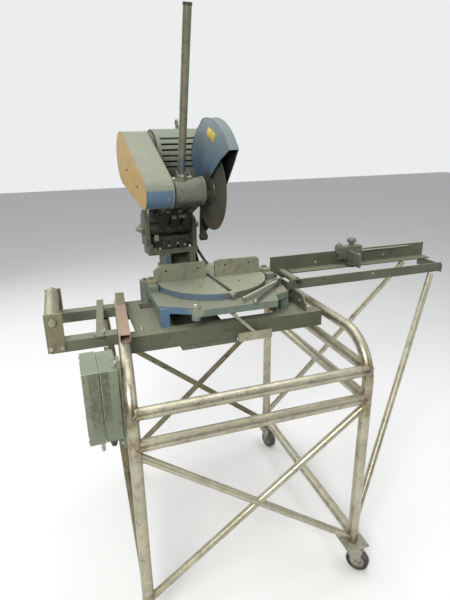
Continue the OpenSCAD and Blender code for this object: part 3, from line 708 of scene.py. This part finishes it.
def make_welds():
    """Beads where the rails and braces meet the legs."""
    bm = bmesh.new()
    runs = [(a, height, b, height, TUBE_R) for height in RAIL_HEIGHTS
            for a, b in (("front_left", "front_right"), ("front_left", "rear_left"),
                         ("front_right", "rear_right"))]
    runs += [("front_right", 152, "rear_right", 152, TUBE_R),
             ("front_left", 712, "front_right", 134, BRACE_R),
             ("front_left", 138, "front_right", 712, BRACE_R),
             ("rear_left", 705, "rear_right", 134, BRACE_R),
             ("rear_left", 126, "rear_right", 752, BRACE_R)]
    for a, low, b, high, radius in runs:
        start = at_stand(*LEGS[a], low)
        end = at_stand(*LEGS[b], high)
        add_weld(bm, start, end - start, radius, 2.6)
        add_weld(bm, end, start - end, radius, 2.6)
    # The tubes that run up from a leg to the infeed and the outfeed.
    single = (("front_left", 128, (-26.1, 328.7, 919)), ("rear_left", 128, (-5.5, 607, 917)),
              ("front_right", 200, (1350.6, 399.8, 1005.5)),
              ("rear_right", 185, (1294.3, 514.2, 1037.3)))
    for leg, height, far in single:
        start = at_stand(*LEGS[leg], height)
        add_weld(bm, start, at_stand(*far) - start, BRACE_R, 2.4)
    piece("weld_beads", bm, "weld_bead", "stand", 60)


# ---- stand, bench and outfeed ----


def make_caster_details():
    """Plate bolts, wheel hubs, axle nuts and the swivels' races."""
    plate_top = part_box("caster_plates")[1].z / MM
    for name, y in (("front", 0), ("rear", REAR_Y)):
        bm = bmesh.new()
        for dx in (-34, 34):
            for dy in (-34, 34):
                add_bolt(bm, at_stand(RIGHT_X + dx, y + dy, plate_top), UP, 6.5, 7)
                add_bolt(bm, at_stand(RIGHT_X + dx, y + dy, plate_top - 6), -UP, 5.5, 5)
        piece("caster_bolts_" + name, bm, "caster_steel", "stand")
        roll = JOINTS["wheel_" + name + "_roll"]
        axle = Vector(roll["pos_m"])
        direction = Vector(roll["axis"])
        bm = bmesh.new()
        for sign in (-1, 1):
            add_lathe(bm, [(13.6, 8), (29.5, 8), (29.5, 9.5), (27, 11.6), (19, 11.2), (16, 14.6),
                           (13.6, 14.6), (13.6, 8)], axle, direction * sign, 40)
        piece("caster_hub_" + name, bm, "caster_steel", "wheel_" + name)
        bm = bmesh.new()
        for sign in (-1, 1):
            add_lathe(bm, [(0, 24.5), (8, 24.5), (8, 27.5), (6.8, 29), (0, 29)],
                      axle, direction * sign, 6)
        king = Vector(JOINTS["caster_" + name + "_swivel"]["pos_m"])
        race = Vector((king.x, king.y, (plate_top - 12) * MM))
        add_sweep(bm, ring_points(race, UP, 26.6, 56), 1.7, 8, UP)
        piece("caster_trim_" + name, bm, "caster_steel", "caster_" + name)


def make_roller_details():
    """End bearings on the infeed roller and nuts on its axle."""
    low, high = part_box("infeed_roller")
    axis_x = (low.x + high.x) / 2 / MM
    axis_z = (low.z + high.z) / 2 / MM
    bm = bmesh.new()
    for y, sign in ((low.y / MM, -1), (high.y / MM, 1)):
        add_lathe(bm, [(9, 0), (21.5, 0), (21.5, 1.2), (20, 2.2), (14, 1.2), (12, 2.6), (9, 2.6),
                       (9, 0)], at_stand(axis_x, y, axis_z), Vector((0, sign, 0)), 40)
    piece("infeed_roller_bearings", bm, "bare_steel", "infeed_roller")
    bm = bmesh.new()
    low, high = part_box("infeed_brackets")
    for y, sign in ((low.y / MM, -1), (high.y / MM, 1)):
        add_lathe(bm, [(8.3, 0), (13, 0), (13, 6), (11.5, 7), (8.3, 7), (8.3, 0)],
                  at_stand(axis_x, y, axis_z), Vector((0, sign, 0)), 6)
    piece("infeed_axle_nuts", bm, "bare_steel", "stand")


def make_bench_details():
    """Bolts on the brackets and plates."""
    bm = bmesh.new()
    for y in (575, 622):
        add_bolt(bm, at_stand(697, y, 975), LEFT, 8, 8)
    for y, z in ((400, 996), (345, 982), (415, 982), (575, 975), (622, 975)):
        add_bolt(bm, at_stand(703, y, z), RIGHT, 8, 8)
    for x, y in ((96, 352), (96, 583), (180, 352), (610, 352), (610, 583), (708, 352), (708, 583)):
        add_bolt(bm, at_stand(x, y, 958), UP, 6, 6)
    for x in (-203, -168):
        add_bolt(bm, at_stand(x, 651, 944), REAR, 7, 6)
    for x, y in ((-60, 341), (-36, 357)):
        add_bolt(bm, at_stand(x, y, 964), UP, 4.5, 4)
    piece("bench_bolts", bm, "bare_steel", "stand")


# ---- saw ----


def make_table_details():
    """Fence screws, hold down bolts, scale marks, the slot's pointer, grips and lever ends."""
    bm = bmesh.new()
    for x, z in ((-178, 42), (-52, 42), (60, 44), (160, 44)):
        add_screw(bm, at_saw(x, 3, z), FRONT, 3.8, 4)
    piece("fence_screws", bm, "dark_iron", "stand")
    bm = bmesh.new()
    for x in (-250, 250):
        add_bolt(bm, at_saw(x, 72, -6), UP, 9, 9)
    add_bolt(bm, at_saw(-137, -268, -12), UP, 8, 8)
    for x, y in ((-190, -214), (190, -200), (-222, 20), (225, 20)):
        add_screw(bm, at_saw(x, y, -23.5), UP, 4.5, 3)
    piece("base_bolts", bm, "bare_steel", "stand")
    bm = bmesh.new()
    for degrees in range(-46, 47, 2):
        if abs(degrees) < 4:
            continue
        out = spoke((HEAD_X, HEAD_Y), math.radians(degrees - 90))
        size = 5.5 if degrees % 10 else 9
        middle = CENTRE + out * (TABLE_RIM_R - 1.5 - size / 2) * MM + UP * 0.02 * MM
        add_plate(bm, rectangle(0.9, size), middle, UP.cross(out), out, -0.25, 0)
    piece("scale_marks", bm, "black_and_painted_shade", "table")
    bm = bmesh.new()
    for x, y in ((-80, -95), (80, -95), (-120, 30), (60, 130)):
        add_screw(bm, at_head(x, y, -1.2), UP, 6.5, 1.5)
    piece("table_screws", bm, "dark_iron", "table")
    bm = bmesh.new()
    knob = at_head(0, -230, -11)
    for inset in (3, 9):
        add_sweep(bm, ring_points(knob + HEAD_Y * inset * MM, HEAD_Y, 9.1, 40), 0.8, 6, HEAD_Y)
    piece("plunger_grip", bm, "bare_steel", "plunger")
    bm = bmesh.new()
    add_plate(bm, rectangle(24, 12), at_head(0, -209, 0.3), HEAD_X, HEAD_Y, 2.4)
    add_plate(bm, rectangle(24, 9), at_head(0, -216.4, -1.6), HEAD_X, UP, 2)
    for x in (-8, 8):
        add_screw(bm, at_head(x, -209, 2.4), UP, 2.6, 1.8)
    piece("slot_pointer", bm, "lever_bright", "table")
    bm = bmesh.new()
    add_sweep(bm, [at_stand(408, 276, 994), at_stand(408, 424, 994)], 8.4, 20)
    piece("pull_sleeve", bm, "pull_paint", "release_handle")
    bm = bmesh.new()
    add_bolt(bm, at_saw(232, -128, 6), UP, 8, 8)
    for end in ((38, -263, -8), (68, -296, -12)):
        add_lathe(bm, [(0, -7), (5, -6), (8, -2), (8, 3), (5, 6.5), (0, 7.5)], at_saw(*end),
                  at_saw(*end) - at_saw(232, -128, -4), 24)
    piece("clamp_lever_ends", bm, "bare_steel", "clamp_lever")


def make_yoke_details():
    """Pivot nuts, yoke bolts, stop screws, the blocks between the cheeks and the side strut,
    painted near black as shade, and a dark plate of painted shade behind them.
    """
    bm = bmesh.new()
    add_lathe(bm, [(0, 0), (11, 0), (11, 3), (8, 6), (0, 7)], at_head(-230, *PIVOT), -HEAD_X, 24)
    add_lathe(bm, [(0, 0), (14.5, 0), (14.5, 8), (12.5, 10), (0, 10)],
              at_head(20, *PIVOT), HEAD_X, 6)
    for x in (-124, 0):
        for y in (160, 252):
            add_bolt(bm, at_head(x, y, 12), UP, 7, 7)
    for x in (-170, -150, -20):
        add_bolt(bm, at_head(x, 183, 86), UP, 6, 9)
    piece("yoke_bolts", bm, "bare_steel", "table")
    bm = bmesh.new()
    # The blocks, bar, strut and plate are near black: painted shade between the cheeks.
    for x, width in ((-128, 24), (-92, 30), (-54, 28)):
        add_plate(bm, rectangle(width, 34), at_head(x, 178, 105), HEAD_X, UP, -18, 1.2)
    add_plate(bm, rectangle(150, 14), at_head(-96, 196, 93), HEAD_X, UP, -30, 1.0)
    strut = [(14, 226, 96), (24, 210, 60), (42, 186, 22), (52, 176, 5)]
    add_sweep(bm, [at_head(*point) for point in strut], [7, 6.5, 6, 8], 12)
    add_sweep(bm, [at_head(8, 232, 88), at_head(20, 226, 40), at_head(26, 222, 4)], [7, 6, 7], 12)
    # A dark plate behind the blocks, painted shade that fills the gap between the cheeks and the
    # arm.
    add_plate(bm, rectangle(176, 62), at_head(-97, 240, 117), HEAD_X, UP, -6, 1.0)
    piece("stop_blocks_and_shade_plate", bm, "black_and_painted_shade", "table")
    bm = bmesh.new()
    add_plate(bm, rectangle(17, 24), at_head(-163, 172, 137), HEAD_X, UP, -8, 1.0)
    for x, z in ((-112, 100), (-74, 108), (-44, 99)):
        add_bolt(bm, at_head(x, 176, z), -HEAD_Y, 4.5, 5)
    piece("stop_pads", bm, "fence_paint", "table")


def make_arm_details():
    """Plates and screws on the front of the arm, and the lever that hangs at its right side."""
    bm = bmesh.new()
    for x, width, z in ((-97, 18, 222), (-62, 30, 224)):
        add_plate(bm, rectangle(width, 15), at_head(x, 134, z), HEAD_X, UP, -6, 1.0)
    for x in (-133, -84, -37):
        add_bolt(bm, at_head(x, 96, 254), UP * -0.7 - HEAD_Y * 0.7, 7, 6)
    piece("arm_pads", bm, "fence_paint", "head")
    bm = bmesh.new()
    lever = [(92, 300), (128, 300), (168, 236), (178, 150), (176, 122), (160, 112), (146, 122),
             (142, 160), (112, 238)]
    add_plate(bm, lever, at_head(22, 0, 0), HEAD_Y, UP, 20, 2.0)
    add_lathe(bm, [(0, -7), (13, -6), (16, -1), (16, 20), (12, 25), (0, 26)],
              at_head(24, 161, 128), HEAD_X, 28)
    for x, y, z in ((-160, 148, 236), (-172, 160, 214), (-186, 140, 250)):
        add_bolt(bm, at_head(x, y, z), -HEAD_Y, 7, 9)
    add_plate(bm, rectangle(34, 60), at_head(-170, 168, 232), HEAD_X, UP, -14, 2.0)
    piece("arm_lever", bm, "dark_iron", "head")


def make_springs():
    """Return springs behind the pivot, hooked between the yoke and the arm."""
    for name, x in (("left", -172), ("right", -24)):
        bm = bmesh.new()
        low = at_head(x, 246, 98)
        high = at_head(x, 262, 236)
        along = high - low
        axes = cross_axes(along)
        turns, steps, coil_r = 13, 14, 9.5
        coil = []
        for i in range(turns * steps + 1):
            share = i / (turns * steps)
            coil.append(low + along * (0.08 + 0.84 * share)
                        + spoke(axes, math.tau * i / steps) * coil_r * MM)
        add_sweep(bm, [low] + coil + [high], 1.7, 6)
        obj = mesh_object("return_spring_" + name, bm, "dark_iron")
        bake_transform(obj)


def hood_line(x):
    """The upper outline of the blade guard at one side."""
    y0, z0 = SPINDLE
    outline = [(y0 + HOOD_R * math.cos(math.radians(a)), z0 + HOOD_R * math.sin(math.radians(a)))
               for a in range(144, 80, -3)]
    outline += [(68, 548), (110, 510), (134, 478), (138, 450), (128, 414)]
    return [at_head(x, y, z) for y, z in outline]


def make_guard_details():
    """Rolled rims, rivets on both faces and the plain yellow patch."""
    bm = bmesh.new()
    for x in (-14.4, 18.4):
        add_sweep(bm, hood_line(x), 1.3, 8)
    piece("guard_rims", bm, "guard_paint", "head")
    bm = bmesh.new()
    for y, z in ((130, 240), (118, 330), (40, 230), (-20, 300), (-120, 410), (-190, 462)):
        add_lathe(bm, [(0, 0), (4.5, 0), (4.2, 1.4), (2.5, 2.6), (0, 3)],
                  at_head(19, y, z), HEAD_X, 18)
    for y, z in ((100, 400), (30, 566), (-205, 478), (-70, 408)):
        add_lathe(bm, [(0, 0), (3.6, 0), (3.2, 1.2), (0, 2)], at_head(-15, y, z), -HEAD_X, 16)
    piece("guard_rivets", bm, "bare_steel", "head")
    bm = bmesh.new()
    diamond = [(-52, 557), (-118, 534), (-95, 505), (-29, 531)]
    add_plate(bm, diamond, at_head(-15, 0, 0), HEAD_Y, UP, -0.5, 0.15)
    piece("guard_patch", bm, "yellow_patch", "head")


def make_housing_details():
    """Rings and screws on the spindle housing, and the clamp at the handle's foot."""
    bm = bmesh.new()
    for x in (-149, -134, -54):
        add_sweep(bm, ring_points(at_head(x, *SPINDLE), HEAD_X, HOUSING_R, 72), 1.3, 8, HEAD_X)
    piece("housing_rings", bm, "green_paint", "head")
    bm = bmesh.new()
    for turn in range(0, 360, 60):
        y = SPINDLE[0] + 43.5 * math.cos(math.radians(turn))
        z = SPINDLE[1] + 43.5 * math.sin(math.radians(turn))
        add_screw(bm, at_head(-37, y, z), HEAD_X, 2.8, 2.2)
    lean = (at_head(0, -55.04, 436.8) - at_head(0, *SPINDLE)).normalized()
    collar = at_head(-119, *SPINDLE)
    foot = collar + lean * 47 * MM
    add_sweep(bm, [foot, foot + HEAD_X * 40 * MM + UP * 6 * MM], [4, 3.4], 10)
    add_sweep(bm, [foot, foot - HEAD_X * 32 * MM], 4, 10)
    add_bolt(bm, foot - HEAD_X * 24 * MM, -HEAD_X, 7, 8)
    grip = foot + HEAD_X * 38 * MM
    add_sweep(bm, [grip, grip + (UP * 0.9 - HEAD_X * 0.35) * 34 * MM], [3.6, 3], 10)
    add_lathe(bm, [(13.6, 60), (19, 60), (19, 66), (16, 69), (13.6, 69), (13.6, 60)],
              collar, lean, 32)
    piece("handle_clamp", bm, "bare_steel", "head")


def make_motor_details():
    """Fan grille, casing screws, and the terminal box with its gland."""
    axis = at_head(0, *MOTOR)
    bm = bmesh.new()
    face = axis + HEAD_X * 124 * MM
    for radius in (22, 34, 46, 58, 70, 82, 94):
        add_sweep(bm, ring_points(face, HEAD_X, radius, 72), 2.0, 6, HEAD_X)
    for turn in range(0, 360, 45):
        out = around_head(turn)
        add_sweep(bm, [face + out * 16 * MM, face + out * 98 * MM], 2.4, 6)
    add_lathe(bm, [(0, -0.5), (17, -0.5), (17, 1.5), (14, 3), (0, 3)], face, HEAD_X, 32)
    piece("fan_grille", bm, "motor_alu", "head")
    bm = bmesh.new()
    for turn in (45, 135, 225, 315):
        out = around_head(turn)
        add_bolt(bm, axis + HEAD_X * 98 * MM + out * 106 * MM, out, 4.5, 4)
        add_bolt(bm, axis - HEAD_X * 150 * MM + out * 84 * MM, -HEAD_X, 5, 5)
    piece("motor_screws", bm, "bare_steel", "head")
    bm = bmesh.new()
    out = (HEAD_Y * 0.5 - UP * 0.866).normalized()
    across = out.cross(HEAD_X)
    base = axis + out * 100 * MM + HEAD_X * 10 * MM
    add_plate(bm, rectangle(86, 66), base, HEAD_X, -across, 40, 2.5)
    add_plate(bm, rectangle(92, 72), base + out * 40 * MM, HEAD_X, -across, 5, 1.5)
    piece("terminal_box", bm, "motor_alu", "head")
    bm = bmesh.new()
    for u in (-38, 38):
        for v in (-28, 28):
            corner = base + HEAD_X * u * MM + across * v * MM
            add_screw(bm, corner + out * 45 * MM, out, 3, 2.4)
    add_lathe(bm, [(0, 0), (12, 0), (12, 8), (9, 9), (9, 16), (6, 17), (0, 17)],
              base + HEAD_X * 43 * MM + out * 20 * MM, HEAD_X, 6)
    piece("terminal_fittings", bm, "black_plastic", "head")


def two_round_line(x, small, large):
    """The outline round the spindle and motor axes, at one height along the head."""
    (y0, z0), (y1, z1) = SPINDLE, MOTOR
    count = 40
    length = math.hypot(y1 - y0, z1 - z0)
    a = math.atan2(z1 - z0, y1 - y0)
    b = math.asin((large - small) / length)
    points = []
    for i in range(count + 1):
        t = a - math.pi / 2 - b + (math.pi + 2 * b) * i / count
        points.append(at_head(x, y1 + large * math.cos(t), z1 + large * math.sin(t)))
    for i in range(count + 1):
        t = a + math.pi / 2 + b + (math.pi - 2 * b) * i / count
        points.append(at_head(x, y0 + small * math.cos(t), z0 + small * math.sin(t)))
    return points


def make_belt_guard_details():
    """Folded rims, a black ring of painted shade in the gap between cover and back, and the
    cover's screws.
    """
    bm = bmesh.new()
    for x in (-256, -158):
        add_sweep(bm, two_round_line(x, COVER_SMALL_R, COVER_LARGE_R), 1.8, 8, HEAD_X)
    piece("cover_rims", bm, "guard_face", "head")
    bm = bmesh.new()
    # Painted shade: a black ring in the gap between the cover and the motor and housing.
    add_sweep(bm, two_round_line(-154.5, COVER_SMALL_R - 2, COVER_LARGE_R - 2), 2.6, 8, HEAD_X)
    for y, z in ((192, 407), (37, 359)):
        add_screw(bm, at_head(-257, y, z), -HEAD_X, 4.5, 2)
    piece("cover_gap_shade_and_screws", bm, "black_and_painted_shade", "head")
    bm = bmesh.new()
    for y, z in ((-83, 322), (-76, 370)):
        out = (HEAD_Y * (y - SPINDLE[0]) + UP * (z - SPINDLE[1])).normalized()
        add_screw(bm, at_head(-176, *SPINDLE) + out * COVER_SMALL_R * MM, out, 4, 2.4)
    piece("cover_bolts", bm, "bare_steel", "head")


def make_blade_details():
    """Clamping flanges on both faces of the disc."""
    bm = bmesh.new()
    face = 1.7
    flange = [(29.2, face), (45, face), (45, face + 3), (43, face + 5), (36, face + 5),
              (33, face + 6.6), (29.2, face + 6.6), (29.2, face)]
    for sign in (-1, 1):
        add_lathe(bm, flange, at_head(-3, *SPINDLE), HEAD_X * sign, 56)
    piece("disc_flanges", bm, "bare_steel", "spindle")


# ---- control box ----


def make_box_details():
    """The lid's screws, panel, worn edges and catch, and the two gland nuts."""
    low, high = (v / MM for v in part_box("box_lid"))
    bm = bmesh.new()
    for y in (low.y + 9, 191):
        for z in (low.z + 10, high.z - 10):
            add_screw(bm, at_stand(low.x, y, z), LEFT, 4.2, 2.6)
    piece("lid_screws", bm, "bare_steel", "box_lid")
    bm = bmesh.new()
    add_plate(bm, rectangle(118, 192), at_stand(low.x, 126, 852), FRONT, UP, 1.6, 0.7)
    piece("lid_panel", bm, "lid_paint", "box_lid")
    bm = bmesh.new()
    front = low.y - 0.1
    inner = high.x - 1
    add_sweep(bm, [at_stand(low.x, front, high.z), at_stand(high.x, front, high.z)], 0.9, 8)
    add_sweep(bm, [at_stand(inner, front, low.z + 1), at_stand(inner, front, high.z)], 0.9, 8)
    piece("lid_edges", bm, "lever_bright", "box_lid")
    bm = bmesh.new()
    for y in (90, 140):
        add_lathe(bm, [(0, 0), (11.5, 0), (11.5, 7), (9, 8.5), (9, 17), (6.5, 18.5), (0, 18.5)],
                  at_stand(-50, y, 716), -UP, 6)
    piece("gland_nuts", bm, "black_plastic", "stand")
    bm = bmesh.new()
    add_plate(bm, rectangle(12, 26), at_stand(-84, 58, 727), RIGHT, UP, -4, 0.8)
    add_lathe(bm, [(0, 0), (5, 0), (5, 9), (3, 11), (0, 11)], at_stand(-84, 60, 717), -UP, 16)
    piece("lid_catch", bm, "bare_steel", "box_lid")


# ---- stop ----


def make_stop_details():
    """The stop knob's ridges and crown, the round pad below the stop, and its screws."""
    knob = Vector(JOINTS["stop_knob_turn"]["pos_m"])
    knob.z = 1136 * MM
    bm = bmesh.new()
    for i in range(10):
        turn = math.tau * i / 10
        base = knob + Vector((math.cos(turn), math.sin(turn), 0)) * 14.4 * MM
        add_sweep(bm, [base, base + UP * 16 * MM], 2.4, 8)
    add_lathe(bm, [(15.2, 2), (18.5, 3.5), (20, 8), (19.5, 14), (16, 18.5), (9, 20.5), (0, 21)],
              knob, UP, 36)
    piece("stop_knob_ridges", bm, "knob_green", "stop_clamp_knob")
    bm = bmesh.new()
    add_lathe(bm, [(0, 0), (17, 0), (17, 9), (15, 11), (0, 11)], at_stand(1008, 486, 1053), UP, 36)
    add_plate(bm, rectangle(24, 74), at_stand(1010, 490, 1062), RIGHT, REAR, 3)
    piece("stop_puck", bm, "black_and_painted_shade", "stop")
    bm = bmesh.new()
    add_bolt(bm, at_stand(988, 556, 1132), UP, 8, 8)
    for x in (1010, 1076):
        add_screw(bm, at_stand(x, 532, 1090), FRONT, 4, 3)
    piece("stop_screws", bm, "bare_steel", "stop")


# ---- stage, light and camera ----


def make_stage():
    """A plain pale floor."""
    bm = bmesh.new()
    bmesh.ops.create_grid(bm, x_segments=1, y_segments=1, size=14)
    mesh = bpy.data.meshes.new("floor")
    bm.to_mesh(mesh)
    bm.free()
    paint = Paint("floor_paint")
    tone = paint.mix(paint.noise(1.3, 4), (0.76, 0.76, 0.755), (0.80, 0.80, 0.795))
    paint.finish(tone, 0.75, 0.0, paint.noise(60, 4), paint.normal, 0.05)
    mesh.materials.append(paint.material)
    add_object("floor", mesh)


def add_light(name, position, target, size, power, colour=(1, 1, 1)):
    data = bpy.data.lights.new(name, "AREA")
    data.shape = "RECTANGLE"
    data.size, data.size_y = size
    data.energy = power
    data.color = colour
    lamp = add_object(name, data)
    lamp.location = position
    lamp.rotation_euler = (Vector(target) - Vector(position)).to_track_quat("-Z", "Y").to_euler()


def make_lights():
    """Four soft lights, and a surround that is bright behind the saw and dim elsewhere."""
    middle = (0.5, 0.45, 1.0)
    add_light("key", (-1.6, -2.6, 3.2), middle, (1.7, 1.7), 150, (1.0, 0.985, 0.95))
    add_light("fill", (3.4, -1.6, 2.2), middle, (2.6, 2.6), 24, (0.96, 0.98, 1.0))
    add_light("top", (0.6, 0.8, 4.0), middle, (3.0, 3.0), 80)
    add_light("back", (-1.2, 3.4, 2.6), middle, (2.4, 2.4), 36)
    world = bpy.data.worlds.new("surround")
    world.use_nodes = True
    tree = world.node_tree
    back = tree.nodes["Background"]
    place = tree.nodes.new("ShaderNodeTexCoord")
    wall = tree.nodes.new("ShaderNodeVectorMath")
    wall.operation = "DOT_PRODUCT"
    wall.inputs[1].default_value = (0.32, 0.95, 0)
    tree.links.new(place.outputs["Generated"], wall.inputs[0])
    glow = tree.nodes.new("ShaderNodeMapRange")
    glow.interpolation_type = "SMOOTHSTEP"
    for index, value in ((1, 0.1), (2, 0.75), (3, 0.34), (4, 0.86)):
        glow.inputs[index].default_value = value
    tree.links.new(wall.outputs["Value"], glow.inputs[0])
    back.inputs["Color"].default_value = (0.97, 0.985, 1.0, 1)
    tree.links.new(glow.outputs["Result"], back.inputs["Strength"])
    bpy.context.scene.world = world
    bpy.context.scene.view_settings.view_transform = "Standard"


def make_camera():
    """The camera at a standing person's height, looking down over the front left corner."""
    position = Vector((-0.1189, -1.1822, 1.5967))
    yaw, pitch, roll = (math.radians(a) for a in (18.7, 19.5, -0.8))
    forward = Vector((math.sin(yaw) * math.cos(pitch), math.cos(yaw) * math.cos(pitch),
                      -math.sin(pitch)))
    right = Vector((math.cos(yaw), -math.sin(yaw), 0))
    above = right.cross(forward)
    tilted_right = right * math.cos(roll) + above * math.sin(roll)
    tilted_above = above * math.cos(roll) - right * math.sin(roll)
    data = bpy.data.cameras.new("camera")
    data.lens = 28.63
    data.sensor_width = 36
    data.clip_start = 0.02
    camera = add_object("camera", data)
    turn = Matrix((tilted_right, tilted_above, -forward)).transposed().to_4x4()
    camera.matrix_world = Matrix.Translation(position) @ turn
    bpy.context.scene.camera = camera


make_camera()
paint_nodes()
make_welds()
make_caster_details()
make_roller_details()
make_bench_details()
make_table_details()
make_yoke_details()
make_arm_details()
make_springs()
make_guard_details()
make_housing_details()
make_motor_details()
make_belt_guard_details()
make_blade_details()
make_box_details()
make_stop_details()
make_stage()
make_lights()
